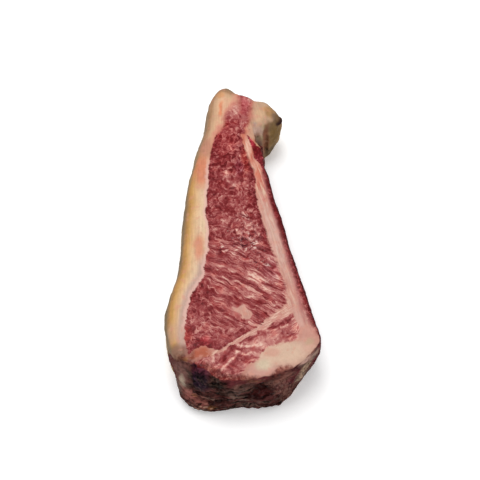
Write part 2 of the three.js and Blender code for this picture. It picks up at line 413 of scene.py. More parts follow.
# Heights of the relief.
FIBRE_RELIEF = 0.2
FAT_RISE = 0.3
SEAM_GROOVE = 0.3
CRAG_RELIEF = 1.5
RIDGE_RELIEF = 1.1
CAP_RELIEF = 0.7
# Hollows and swellings of the walls, and then of the upper face: place, radii, and height.
WALL_FORMS = (
    ((15, -123, 30), (14, 12, 13), -2.2),
    ((16, -121, 37), (6, 9, 4), -1.2),
    ((-40, -112, 24), (8, 12, 15), 1.1),
    ((-33.5, -116, 34), (2.2, 9, 15), -1),
    ((-24, -118, 41), (9, 9, 8), 0.8),
    ((-30, -122, 12), (14, 9, 8), 0.8),
    ((17.5, 84, 30), (2.6, 9, 24), -1.3),
    ((9.5, 83, 41), (2.5, 4, 2.5), 0.8),
    ((14, 82, 37), (2.2, 4, 3), 0.7),
    ((36, -114, 12), (13, 13, 18), -2.8),
    ((28, 96, 39), (4, 4, 5), 2.8),
    ((-9, 121, 40), (7, 6, 14), 1.6),
    ((12, 63, 36), (7, 14, 20), 2.4),
)
FACE_FORMS = (
    ((14, 97, 45), (5, 7, 6), 0.8),
    ((9, 90, 46), (4, 5, 6), -0.7),
    ((6, 79, 46), (5, 4, 6), -0.5),
)


def crag_relief(points, bent):
    """The crags of the dried end, with slanting rungs across its middle."""
    x, y, z = points.T
    crags = ridges(bent, 11, 3.1, (1.8, 1, 0.75)) + 0.6 * ridges(bent, 5, 8.3, (1.6, 1, 0.8))
    crags += 0.3 * lumps(points, 2.4, 5.5) - 0.96
    slanted = np.stack([0.7 * (x + z), 0.7 * (z - x), y], 1)
    rungs = ridges(slanted, 6, 2.7, (3.2, 0.9, 2)) - 0.6
    on_rungs = blob(points, (-3, -116, 24), (26, 14, 24))
    return CRAG_RELIEF * crags * (1 - 0.6 * on_rungs) + RIDGE_RELIEF * rungs * on_rungs


def fat_wall_relief(points, bent):
    """Long waves of the fat's dried skin, with wrinkles low on the wall."""
    cap = lumps(points, 24, 6.1, (1, 1.6, 1)) + 0.4 * lumps(points, 8, 2.2)
    cap += 0.15 * lumps(points, 3, 9)
    wrinkles = ridges(bent, 9, 5.3, (1, 3.5, 0.8)) + 0.4 * ridges(bent, 4, 6.7, (1, 2.5, 0.9))
    low_wall = 1 - rise(points[:, 2], 34, 42)
    return CAP_RELIEF * (cap + 1.3 * low_wall * (wrinkles - 0.84))


def face_relief(points, depths):
    """The lean's fibres, the standing fat, and the groove along the cap's inner border."""
    along, across = grain(points)
    flow = np.stack([along, across, points[:, 2]], 1)
    fibres = lumps(flow, 3, 1.3, (2.4, 0.9, 2)) + 0.6 * lumps(points, 5, 4.1)
    soft = lumps(points, 11, 7.7) + 0.5 * lumps(points, 5.5, 2.9)
    face = mix(FAT_RISE + 0.2 * soft, FIBRE_RELIEF * fibres, rise(depths["lean"], -0.6, 0.6))
    return face - SEAM_GROOVE * np.exp(-((depths["fat_cap"] / 0.9) ** 2))


def relief(points, depths, masks):
    """How far each point of the skin stands out or sinks."""
    bent = wavy(points, 2.2, 8, (41, 43, 47))
    dried_end = masks["crust"] * (0.3 + 0.7 * masks["near_end"])
    out = masks["cut"] * face_relief(points, depths) + dried_end * crag_relief(points, bent)
    out += masks["wall"] * (1 - masks["crust"]) * fat_wall_relief(points, bent)
    return out + masks["wall"] * blobs(points, WALL_FORMS) + masks["cut"] * blobs(points, FACE_FORMS)


# Where the dried crust of the near end begins on the cut face: places across the steak, and along it.
CRUST_ACROSS = (-46, -36, -33, -25, -18, -8, 10, 20, 31, 36, 42, 52)
CRUST_ALONG = (-103, -105.5, -108, -111, -116.5, -120.5, -119.5, -119, -116.5, -114, -108.5, -96)

# Where the wall is as fresh as the cut face: place and radii.
FRESH_WALL = ((11.5, 70), (8, 24))

# How far the dried margin of the near end reaches onto the face, at places across the steak.
DRIED_ACROSS = (-30, -20, -10, 5, 12, 17, 21, 24, 29, 33, 36, 52)
DRIED_REACH = (3, 7, 6, 4, 1.5, 1.5, 6, 9, 9.5, 6, 0.5, -1)


def wall_distances(points, normals):
    """How far each point is inwards from the walls, seen from above."""
    on_wall = (np.abs(normals[:, 2]) < 0.3) & (points[:, 2] > 26) & (points[:, 2] < 42)
    walls = points[on_wall][::2]
    tree = KDTree(len(walls))
    for number, (x, y, _) in enumerate(walls.tolist()):
        tree.insert((x, y, 0), number)
    tree.balance()
    return np.array([tree.find((x, y, 0))[2] for x, y, _ in points.tolist()])


def surface_masks(points, normals, depths):
    """Shares of cut face, wall and dried crust."""
    z = points[:, 2]
    wobble = 0.1 * lumps(points, 7, 11) + 0.06 * lumps(points, 2.6, 12)
    cut = rise(np.abs(normals[:, 2]) + wobble, 0.55, 0.85)
    inwards = wall_distances(points, normals)
    beyond = np.interp(points[:, 0], CRUST_ACROSS, CRUST_ALONG) - points[:, 1]
    ragged = 0.8 * lumps(points, 5, 15) + 0.4 * lumps(points, 2.2, 16)
    ragged = ragged * (1 + 1.2 * rise(-points[:, 0], 22, 32))
    near_end = rise(beyond + ragged, -1, 1)
    wander = (7 - 4 * rise(z, 10, 36)) * lumps(points, 14, 17)
    near_wall = rise(beyond + wander + ragged, -12, -5)
    fat_side = np.maximum(depths["fat_cap"], depths["tail_fat"])
    lean_side = rise(-fat_side, -1, 1)
    crust = np.maximum((1 - cut) * np.maximum(lean_side, near_wall * (1 - rise(z, 38, 42))), near_end)
    crust = crust * (1 - blob(points, *FRESH_WALL) * rise(z, 20, 34))
    patchy = 2.2 * lumps(points, 6, 13) + 1.4 * lumps(points, 2.2, 14)
    reach = np.interp(points[:, 0], DRIED_ACROSS, DRIED_REACH)
    at_end = 1 - rise(-beyond + 0.6 * patchy - reach, -4, 3)
    y = points[:, 1]
    side_reach = 1.2 + 1.5 * rise(-y, -40, -10) * (1 - rise(-y, 78, 90))
    at_side = (1 - rise((inwards + 0.3 * patchy) / side_reach, 0.2, 1)) * lean_side
    dried = np.maximum(at_end, at_side)
    return {
        "cut": cut,
        "wall": 1 - cut,
        "crust": crust,
        "dried": dried,
        "inwards": np.where(z > 20, inwards, np.minimum(inwards, 3)),
        "near_end": near_end,
    }


# The fat's colours. The cap has a row of them inwards from the rim, at the distances in CAP_ROWS.
# The rows darken towards the rim: the ochre is the fat's own colour, and the darkest colours at the rim
# are painted shade where the rounded shoulder turns away.
CAP_ROWS = (0.5, 2, 3.8, 5.4, 7, 9.5, 12.5)
CAP_MIDDLE = ("#71604a", "#9a7852", "#b6874f", "#c5995f", "#cfa475", "#d6b28b", "#d9ba9a")
CAP_TAIL = ("#85705c", "#98795c", "#a67e5e", "#bf997a", "#cda684", "#d7ac8a", "#d9ac8c")
CAP_INNER = colour("#ba9990")
MEMBRANE = colour("#dab0a4")
BAND = colour("#be8677")
BAND_TOP = colour("#c4715c")
BAND_CORE = colour("#cba396")
STRIP_PINK = colour("#a65057")
SEAM = colour("#c69284")
LOBE = colour("#d0b099")
HALO = colour("#ce8776")
ROLL = colour("#be9b7f")
ROLL_WALL = colour("#84694c")
ROLL_MAUVE = colour("#94796c")
ROLL_CREAM = colour("#cbb08c")
FAT_WALL = colour("#ab8c5f")
FAT_WALL_OLIVE = colour("#826b48")
BAND_WALL = colour("#94705c")
FAT_WALL_PINK = colour("#ad8369")
# Spots of colour on the fat: place, radii, colour, and strength.
FAT_SPOTS = (
    ((-29, 46, 46), (8, 21, 14), "#cb7a5e", 0.85),
    ((-26, 66, 46), (7, 13, 14), "#b27a66", 0.8),
    ((-30.2, -18, 46), (5.2, 15, 12), "#cd8164", 0.8),
    ((-40, 92, 46), (14, 14, 20), "#a3785c", 0.3),
    ((-15.8, 101, 46), (1.8, 10, 12), "#d4835f", 0.9),
    ((-16, 115, 45), (5, 4, 8), "#d09464", 0.7),
    ((-38.5, -99, 46), (5, 8, 12), "#85524a", 0.95),
    ((-43.5, -100, 46), (7, 10, 12), "#8e6a58", 1),
    ((-28, -100, 46), (11, 8, 14), "#a7533a", 0.95),
    ((-33.5, -101, 46), (3.5, 7, 12), "#82402f", 0.9),
    ((-26, -106, 46), (7, 4, 12), "#925349", 0.9),
    ((6.5, 36, 46), (2.4, 16, 12), "#c4614a", 0.7),
    ((17.3, 22, 46), (3, 6, 12), "#bd625a", 0.6),
    ((9, 80, 45), (7, 9, 9), "#c49a80", 0.9),
    ((4.6, 66, 46), (3.4, 15, 12), "#deb09b", 1),
    ((9.2, 52, 46), (3.2, 12, 12), "#d29b86", 0.9),
    ((12, 69, 45), (3, 5, 8), "#c99e7d", 0.8),
    ((13.7, 96, 45), (5.5, 7.5, 6), "#cba583", 0.8),
    ((18, 102, 45), (5, 4, 6), "#c08b60", 0.7),
    ((9.6, 88.3, 45), (2.2, 3, 5), "#a58a82", 0.8),
    ((21, 100, 44), (6, 8, 6), "#a17a50", 0.9),
    ((24.5, 96, 43), (4, 5, 4), "#77604f", 0.8),
    ((11, 84, 41), (8, 5, 7), "#c2a090", 1),
    ((12, 83, 38), (3, 4, 2.5), "#b58c78", 0.8),
    ((10, 83.5, 43), (2.2, 4, 1.6), "#c3a592", 0.8),
    ((15, 82.5, 40), (1.8, 4, 2.4), "#b39a8b", 0.7),
    ((13.5, 80, 30), (5, 6, 7), "#84665a", 0.9),
    ((18.2, 85, 30), (3.4, 10, 26), "#8a5843", 0.95),
    ((26, 88, 28), (9, 12, 22), "#765b35", 1),
    ((24, 84, 12), (12, 12, 12), "#5d4d38", 0.9),
    ((26.5, 96, 40), (4.5, 6, 6), "#70563c", 0.9),
    ((27.8, 95, 38.5), (3, 5.5, 5.5), "#351d1b", 1),
    ((47, -84, 46), (8, 14, 12), "#c48d7e", 0.7),
    ((43, -69, 46), (4, 12, 12), "#a5655f", 0.7),
    ((46, -97, 46), (9, 6, 12), "#cda28f", 0.8),
    ((14, -108.5, 46), (8, 6, 12), "#cdba9f", 0.9),
    ((20, -99, 46), (8, 5, 12), "#cb9583", 0.7),
    ((-47, -84, 46), (7, 11, 12), "#c9a288", 0.5),
    ((39, -75, 46), (4, 9, 12), "#cda093", 0.7),
    ((45, -91, 46), (4, 4, 12), "#bda184", 0.7),
)
# Tints that the lean's colour is multiplied by: place, radii, tint, and strength.
LEAN_SPOTS = (
    ((-36.9, -88, 46), (5, 10, 12), (1.12, 0.85, 0.78), 1),
    ((-25.5, -91, 46), (7, 5, 12), (1.18, 0.75, 0.85), 1),
    ((3, -28, 46), (4, 3, 12), (1.1, 0.7, 0.7), 1),
    ((2, 105, 46), (4, 12, 12), (1.1, 0.85, 0.95), 1),
    ((-12, 87, 46), (4, 4, 12), (1.2, 0.6, 0.6), 1),
    ((-12, 75, 46), (12, 25, 12), (1.1, 0.9, 0.9), 0.9),
    ((12, 66, 40), (8, 14, 40), (1.02, 0.62, 0.7), 1),
    ((14, 55, 44), (6, 10, 14), (1.3, 1.25, 1.45), 1),
    ((7.5, 71.5, 46), (4.5, 6, 12), (2.1, 1.5, 1.9), 1),
    ((2.5, 56, 46), (4.5, 17, 12), (1.16, 0.88, 0.74), 1),
    ((24, 5, 46), (7, 30, 12), (1, 0.93, 0.95), 1),
    ((-2, 48, 46), (5, 10, 12), (0.9, 0.9, 1.1), 1),
    ((20, -36, 46), (8, 13, 12), (0.96, 0.94, 1.02), 1),
)

# Colours of the dried crust and the walls of lean, and where the near end's crease lies.
CRUST_BASE = colour("#472825")
CRUST_DARK = colour("#220d0c")
CRUST_GREY = colour("#54423a")
# Pale specks painted as highlights low on the near end.
CRUST_GLINT_SPECKS = colour("#a5806e")
CREASE = (-34.3, -33.2)
LEAN_WALL = colour("#5a282b")
LEAN_RIM = colour("#551c20")
LEAN_WALL_BROWN = colour("#5c3a2e")
LEAN_WALL_DARK = colour("#331a1b")
CRUST_SPOTS = (
    ((-42, -110, 32), (9, 15, 22), "#6e4c46", 1),
    ((-36, -106, 44), (5, 6, 5), "#8a5c55", 0.9),
    ((-40, -112.5, 28.5), (4, 7, 7), "#a59482", 0.9),
    ((-42, -111, 16), (5, 7, 7), "#6b5d57", 0.8),
    ((-35, -118, 19), (8, 9, 9), "#7e4c45", 0.9),
    ((-27, -122, 16), (9, 9, 8), "#6a3c36", 0.9),
    ((-31.8, -120, 20.5), (2.5, 5, 2.5), "#8e5a43", 0.9),
    ((-20, -123, 10), (6, 6, 4), "#5e3a1f", 0.8),
    ((-7, -123, 33), (9, 9, 5), "#4c3832", 0.8),
    ((3, -122, 38), (14, 9, 6), "#4e3730", 0.7),
    ((9, -119, 43.5), (9, 5, 2.5), "#7a4d3e", 0.8),
    # Painted shade: the next row makes the hollow of the near end near black.
    ((14.7, -121, 36.5), (7, 9, 5.5), "#180707", 1),
    ((19, -119, 39.5), (3.5, 5, 2.5), "#44322d", 0.8),
    # Painted shade: the lower part of the same hollow is darkened too.
    ((16, -121, 25), (14, 11, 12), "#442221", 1),
    ((25, -119, 32), (5, 7, 7), "#4f3230", 0.8),
    ((31, -114, 40), (8, 8, 6), "#66423a", 0.9),
    ((39, -111, 22), (6, 9, 17), "#a08b77", 0.9),
    ((44, -106, 34), (8, 9, 10), "#a08972", 0.9),
    ((50, -99, 39), (7, 9, 8), "#937a6d", 0.9),
    ((46, -104, 18), (9, 10, 12), "#5d4a3d", 0.8),
    ((43, -104, 44), (10, 9, 4.5), "#a9867a", 0.85),
)
# The purple and black patches right of the crease.
BRUISES = (
    ((-29, -110, 43), (12, 10, 9), "#572934"),
    ((-29, -116, 37), (12, 10, 12), "#2a1a26"),
    ((-26, -114, 41), (7, 7, 5), "#1c1418"),
    ((-17, -119, 38.5), (9, 7, 5), "#201915"),
)


def profile(distances, codes):
    """Colours that change inwards from the rim."""
    shades = np.array([colour(code) for code in codes])
    return np.stack([np.interp(distances, CAP_ROWS, shade) for shade in shades.T], 1)


def spotted(points, base, spots):
    """Lays soft spots of colour over a base colour."""
    points = wavy(points, 0.9)
    for centre, radii, shade, strength in spots:
        shade = colour(shade) if isinstance(shade, str) else shade
        base = layered(base, (shade, strength * blob(points, centre, radii)))
    return base


def wall_tint(points):
    """The dried fat of the walls, with pink and olive patches and an olive foot."""
    foot = 1 - rise(points[:, 2] + 2 * lumps(points, 9, 67), 2, 9)
    return layered(
        FAT_WALL,
        (FAT_WALL_PINK, 0.8 * patches(points, 26, 61, 0, 0.8)),
        (FAT_WALL_OLIVE, 0.6 * patches(points, 18, 63, 0, 0.8)),
        (FAT_WALL_OLIVE, 0.8 * foot),
    )


def cap_tint(points, masks, from_lean, near_lean, wall):
    """The fat cap: dark at the rim with painted shade, cream inwards, and reddish round the tail's
    lean.
    """
    _, y, z = points.T
    inwards = np.maximum(masks["inwards"] + 0.5 * lumps(points, 12, 2), 0)
    low_half = rise(-y, 15, 35) * rise(inwards, 3, 7)
    return layered(
        profile(inwards, CAP_MIDDLE),
        (profile(inwards, CAP_TAIL), rise(y, 45, 75)),
        (CAP_INNER, 0.8 * low_half * (1 - rise(from_lean, 3, 7))),
        (HALO, 0.8 * rise(y, 60, 80) * near_lean),
        (wall, (1 - rise(z + 4 * lumps(points, 12, 69), 16, 46)) * masks["wall"]),
    )


def band_tint(points, masks, from_lean):
    """The pale band, the diagonal seam, and the lobe at the near right."""
    y = points[:, 1]
    core = rise(from_lean + 0.8 * lumps(points, 6, 73, (1, 4, 1)), 0.8, 2.8)
    return layered(
        BAND,
        (BAND_TOP, rise(y, 15, 45)),
        (BAND_CORE, core * rise(-y, -45, 0) * (1 - 0.6 * rise(-y, 20, 55))),
        (SEAM, blob(points, (0, -88), (42, 22))),
        (LOBE, blob(points, (26, -99), (28, 14))),
        (BAND_WALL, 0.85 * masks["wall"]),
    )


def roll_tint(points, masks, near_lean, wall):
    """The roll of fat beside the tail, mauve and cream in front."""
    front = 0.8 * blob(points, (11, 84, 42), (11, 9, 16))
    return layered(
        ROLL,
        (ROLL_WALL, masks["wall"]),
        (wall, 0.5 * (1 - rise(points[:, 2], 32, 41)) * masks["wall"]),
        (ROLL_MAUVE, front * patches(points, 5, 81, 0, 0.5)),
        (ROLL_CREAM, front * patches(points, 4, 83, 0.1, 0.5)),
        (HALO, 0.4 * near_lean * masks["cut"]),
    )


def fat_tint(points, depths, masks):
    """The colour that fat has at each point."""
    y = points[:, 1]
    from_lean = -2 * lean_reach(points, depths)
    near_lean = 1 - rise(from_lean + 1.5 * lumps(points, 4, 71), 0.5, 5)
    wall = wall_tint(points)
    along_strip = rise(-y, -48, -38) * rise(y, -86, -78)
    tint = layered(
        band_tint(points, masks, from_lean),
        (cap_tint(points, masks, from_lean, near_lean, wall), rise(depths["fat_cap"], -1, 1)),
        (roll_tint(points, masks, near_lean, wall), rise(depths["tail_fat"], -1, 1)),
        (STRIP_PINK, 0.8 * along_strip * rise(into_strip(points), -2.6, 0.5)),
    )
    return spotted(points, tint, FAT_SPOTS)


def crust_tint(points, masks):
    """The colour that the dried crust has at each point."""
    x, y, z = points.T
    side = layered(
        LEAN_WALL,
        (LEAN_WALL_DARK, 0.6 * patches(points, 24, 51, 0, 1, (1, 2.5, 1))),
        (LEAN_WALL_BROWN, 0.6 * patches(points, 20, 53, 0, 1, (1, 2, 0.8))),
        (LEAN_RIM, rise(z, 37, 44) * rise(y, -90, -80)),
    )
    end = layered(
        CRUST_BASE,
        (CRUST_DARK, 0.8 * patches(points, 11, 57, 0, 0.6)),
        (CRUST_GREY, 0.8 * patches(points, 7, 59, 0.15, 0.6, (1.8, 1, 0.7))),
    )
    shown = spotted(points, layered(side, (end, masks["near_end"])), CRUST_SPOTS)
    right_of_crease = rise(x + 0.25 * lumps(points, 3, 75), *CREASE)
    for centre, radii, code in BRUISES:
        shown = layered(shown, (colour(code), blob(points, centre, radii) * right_of_crease))
    # Painted highlights: pale specks low on the left of the near end.
    glint_specked = blob(points, (-27, -121, 8), (13, 9, 9)) * patches(points, 2.4, 87, 0.15, 0.5)
    return layered(shown, (CRUST_GLINT_SPECKS, 0.7 * glint_specked))


def wetness_and_glint_paint(points):
    """Where the lean is torn and wet, across the middle of the face: its moist coat, and its painted
    highlights and painted shade.
    """
    middle = blob(wavy(points, 2), (4, -12), (17, 26))
    return np.maximum(middle, 0.8 * blob(points, (-13, -20), (7, 6)))


def flush_of_fat(points, depths):
    """How strongly reddish streaks show in the fat."""
    y = points[:, 1]
    in_band = rise(depths["seam_fat"], -1, 1)
    in_band = in_band * (1 - blob(points, *NEAR_RIGHT)) * rise(y, -96, -84)
    flushed = in_band * (0.32 + 0.4 * rise(y, 0, 40)) * (1 - rise(y, 66, 78))
    flushed += 0.25 * blob(points, ISLAND, (10, 8))
    return flushed + 0.25 * blob(points, (-4, 92), (22, 24))


def along_border(points):
    """1 where the face's pale fat meets the dark strip, below its upper end."""
    return rise(into_strip(points), -4, -2) * rise(-points[:, 1], -52, -40)


def fade(points):
    """Half the width over which lean fades into fat."""
    tail = blob(points, (-6, 97), (24, 26))
    band = blob(points, (5, 50), (7, 26))
    right = rise(points[:, 0], 12, 20) * rise(-points[:, 1], -10, 5)
    island = blob(points, ISLAND, (11, 9))
    at_strip = along_border(points)
    return 0.3 + 0.4 * right + 1.3 * tail + 0.6 * island + np.maximum(0.8 * at_strip, 1.2 * band)


def raggedness(points, cap_border):
    """How much the border between lean and fat wanders."""
    ragged = (1.9 - 0.5 * cap_border) * (0.55 + 0.45 * rise(-points[:, 1], 0, 30))
    ragged = ragged * (1 - 0.75 * along_border(points))
    return ragged + 1.6 * blob(points, ISLAND, (12, 9))


def skin_fields(points, depths, masks, out):
    """All fields of the skin that its material reads."""
    along, across = grain(points)
    x, y, z = points.T
    cap_border = np.exp(-((depths["fat_cap"] / 3) ** 2))
    near_seam = 1 - rise(np.abs(below_seam(points)), 2, 5)
    glints = [strength * blob(points, centre, radii) for centre, radii, strength in GLINTS]
    return {
        "along": along,
        "across": across,
        "lean_depth": lean_reach(points, depths),
        "ragged": raggedness(points, cap_border),
        "sharpness": 1 / fade(points),
        "membrane": mix(0.2, 0.8, cap_border) * rise(-y, -62, -45) * (1 - 0.85 * rise(-y, 76, 88)),
        "paleness": paleness(points, depths),
        "lively": liveliness(points),
        "wall": masks["wall"] * (1 - rise(z, 30, 41)) * (1 - 0.6 * rise(depths["tail_fat"], -1, 1)),
        "side": masks["wall"] * (1 - masks["near_end"]) * (1 - rise(z, 34, 43)),
        "streaky": streakiness(points),
        # The moist coat, and where highlights and shade are painted into the torn lean.
        "wet_glint_paint": wetness_and_glint_paint(points),
        "glinting": np.max(glints, axis=0),
        "flushed": flush_of_fat(points, depths) * masks["cut"],
        "leaning": 0.26 * y * rise(x, -15, 0),
        "stranded": 0.5 * (1 - blob(points, *NEAR_RIGHT)) * rise(y, -94, -84),
        "seam_along": x + SEAM_SLOPE * y,
        "seam_across": y - SEAM_SLOPE * x,
        "in_seam": 0.7 * near_seam * (1 - rise(np.abs(x - 6), 24, 30)),
        "face": masks["cut"],
        "crust": masks["crust"],
        "rough": 0.6 + 0.4 * masks["near_end"] - 0.7 * blob(points, (-43, -109, 32), (13, 20, 34)),
        "dried": masks["dried"],
        "raised": out,
        "fat_tint": fat_tint(points, depths, masks),
        "lean_tint": spotted(points, np.ones(3), LEAN_SPOTS),
        "crust_tint": crust_tint(points, masks),
    }


def skin_layers(places, quads, layers):
    """Depths into the layers, and the shares of face, wall and crust."""
    distances = layer_distances(places, layers)
    depths = {name: depth_into((name,), distances) for name in LAYERS}
    depths["lean"] = depth_into(LEANS, distances)
    return depths, surface_masks(places, corner_normals(places, quads), depths)


def new_object(name, places, faces):
    """A smooth mesh object in metres."""
    mesh = bpy.data.meshes.new(name)
    mesh.from_pydata((places * MM).tolist(), [], faces.tolist())
    mesh.shade_smooth()
    return placed(name, mesh)


def store(mesh, name, values):
    """Keeps one number or colour for each corner of the skin."""
    if values.ndim == 2:
        filled = np.ones((len(values), 4))
        filled[:, :3] = values
        mesh.attributes.new(name, "FLOAT_COLOR", "POINT").data.foreach_set("color", filled.ravel())
    else:
        mesh.attributes.new(name, "FLOAT", "POINT").data.foreach_set("value", values.astype(float))


def steak():
    """The whole steak as one piece."""
    layers = {name: layer_arrays(name) for name in LAYERS}
    places, quads = fused_skin(layers)
    places = smoothed(places, quads)
    depths, masks = skin_layers(places, quads, layers)
    out = relief(places, depths, masks) * rise(places[:, 2], 0.3, 3)
    lying = places + corner_normals(places, quads) * out[:, None]
    lying[:, 2] = np.maximum(lying[:, 2], 0)
    piece = new_object("steak_skin", lying, quads)
    for name, values in skin_fields(places, depths, masks, out).items():
        store(piece.data, name, values)
    return piece


class Graph:
    """A short way to write a material's node tree."""

    def __init__(self, name):
        self.material = bpy.data.materials.new(name)
        self.material.use_nodes = True
        self.tree = self.material.node_tree
        self.tree.nodes.clear()

    def add(self, kind, inputs=(), **settings):
        node = self.tree.nodes.new("ShaderNode" + kind)
        for key, value in settings.items():
            setattr(node, key, value)
        for key, value in dict(inputs).items():
            if isinstance(value, bpy.types.NodeSocket):
                self.tree.links.new(value, node.inputs[key])
            else:
                node.inputs[key].default_value = value
        return node

    def place(self):
        """Places on the skin in millimetres."""
        return self.times(self.add("TexCoord").outputs["Object"], (1 / MM,) * 3)

    def field(self, name, kind="Fac"):
        return self.add("Attribute", attribute_name=name).outputs[kind]

    def math(self, operation, first, *others):
        for other in others:
            first = self.add("Math", {0: first, 1: other}, operation=operation).outputs[0]
        return first

    def plus(self, *terms):
        return self.math("ADD", *terms)

    def scaled(self, *terms):
        return self.math("MULTIPLY", *terms)

    def centred(self, value, amount):
        """Noise round 0 instead of 0.5, times an amount."""
        return self.scaled(self.plus(value, -0.5), amount)

    def times(self, vector, factors):
        return self.add("VectorMath", {0: vector, 1: factors}, operation="MULTIPLY").outputs[0]

    def shifted(self, vector, other):
        return self.add("VectorMath", {0: vector, 1: other}, operation="ADD").outputs[0]

    def swayed(self, vector, noise, amount):
        return self.shifted(vector, self.times(noise, (amount,) * 3))

    def vector(self, x, y, z):
        return self.add("CombineXYZ", {0: x, 1: y, 2: z}).outputs[0]

    def even(self, value):
        return self.vector(value, value, value)

    def height(self, vector):
        return self.add("SeparateXYZ", {0: vector}).outputs[2]

    def noise(self, vector, wave, detail=2, roughness=0.5, kind="Fac"):
        inputs = {"Vector": vector, "Scale": 1 / wave, "Detail": detail, "Roughness": roughness}
        return self.add("TexNoise", inputs).outputs[kind]

    def stretched(self, vector, factors, detail=3, roughness=0.6):
        """Noise with its own scale each way."""
        return self.noise(self.times(vector, factors), 1, detail, roughness)

    def cells(self, vector, wave):
        """Distance to the walls between irregular cells, 0 on a wall."""
        inputs = {"Vector": vector, "Scale": 1 / wave}
        return self.add("TexVoronoi", inputs, feature="DISTANCE_TO_EDGE").outputs["Distance"]

    def rise(self, value, start, end):
        """From 0 at start to 1 at end, which may be the lower one."""
        inputs = {"Value": value, "From Min": start, "From Max": end}
        return self.add("MapRange", inputs, interpolation_type="SMOOTHSTEP").outputs["Result"]

    def mix(self, share, a, b, blend="MIX"):
        inputs = {0: share, 6: a, 7: b}
        return self.add("Mix", inputs, data_type="RGBA", blend_type=blend).outputs[2]

    def layered(self, base, *layers):
        """Lays colours over a base, each by the product of its shares."""
        for shade, *shares in layers:
            base = self.mix(self.scaled(*shares), base, (*shade, 1))
        return base

    def multiplied(self, base, tint, *shares):
        return self.mix(self.scaled(1, *shares), base, tint, "MULTIPLY")

    def blend(self, share, a, b):
        """Blends two numbers."""
        return self.add("Mix", {0: share, 2: a, 3: b}, data_type="FLOAT").outputs[0]

    def finished(self, inputs):
        """The material with a surface of these inputs."""
        shader = self.add("BsdfPrincipled", inputs)
        self.add("OutputMaterial", {"Surface": shader.outputs[0]})
        return self.material

    def ramp(self, value, stops):
        node = self.add("ValToRGB", {0: value})
        elements = node.color_ramp.elements
        while len(elements) < len(stops):
            elements.new(0.5)
        for element, (position, shade) in zip(elements, stops):
            element.position = position
            element.color = (*shade, 1)
        return node.outputs[0]


# The lean's colours from its darkest fibres to its whitest fat.
LEAN_STOPS = (
    (0, "#5c181a"),
    (0.15, "#6f2225"),
    (0.3, "#813133"),
    (0.42, "#924545"),
    (0.55, "#a45d59"),
    (0.7, "#b97a72"),
    (0.85, "#cd9a8d"),
    (1, "#dcb7a6"),
)

# Colours that are laid over the lean, the fat and the crust.
# The torn gap colour is painted shade, and the glint colour is a painted highlight.
TORN_GAP_SHADE = colour("#3a151c")
GLINT = colour("#e3c9bd")
FAT_CREASE = colour("#7a6040")
CHALK = colour("#cdb793")
FLUSH = colour("#b4594a")
CREAM = colour("#dcc3a9")
SEAM_RED = colour("#b8746a")
SEAM_CREAM = colour("#dfbba6")
FAT_PINK = colour("#c98a78")
# The crest colour is partly pale dust and partly painted highlight on the crust's ridges.
CREST_DUST_AND_HIGHLIGHT = colour("#96735f")
SINEW_DARK = (*colour("#552e2b"), 1)
SINEW_PALE = (*colour("#936c5f"), 1)

# Tints that a colour is multiplied by.
REDDER = (1.12, 0.72, 0.68, 1)
DRIED_LIGHT = (0.52, 0.32, 0.29, 1)
DRIED_DARK = (0.25, 0.1, 0.1, 1)
# The hollow tint is painted shade in the sunken parts of the relief.
HOLLOW_SHADE = (0.5, 0.38, 0.38, 1)
DARK_FIBRE = (0.5, 0.42, 0.42, 1)

# Gloss: the roughness of fat, what lean, crust and specks add to it, and the moist coat.
FAT_ROUGHNESS = 0.36
LEAN_ADDS = -0.12
CRUST_ADDS = 0.25
SPECKS_ADD = 0.25
SURFACE_IOR = 1.45
COAT_ROUGHNESS = 0.16
BUMP_STRENGTH = 0.6
BUMP_HEIGHT = 0.7


def bundles(g, flow, size, seed):
    """Bundles of fibres: each has its own tone, and pale fat lies between them."""
    cell = g.times(g.shifted(flow, (seed,) * 3), tuple(1 / length for length in size))
    tone = g.add("TexVoronoi", {"Vector": cell, "Scale": 1}).outputs["Color"]
    return g.plus(g.height(tone), -0.5), g.rise(g.cells(cell, 1), 0.2, 0)


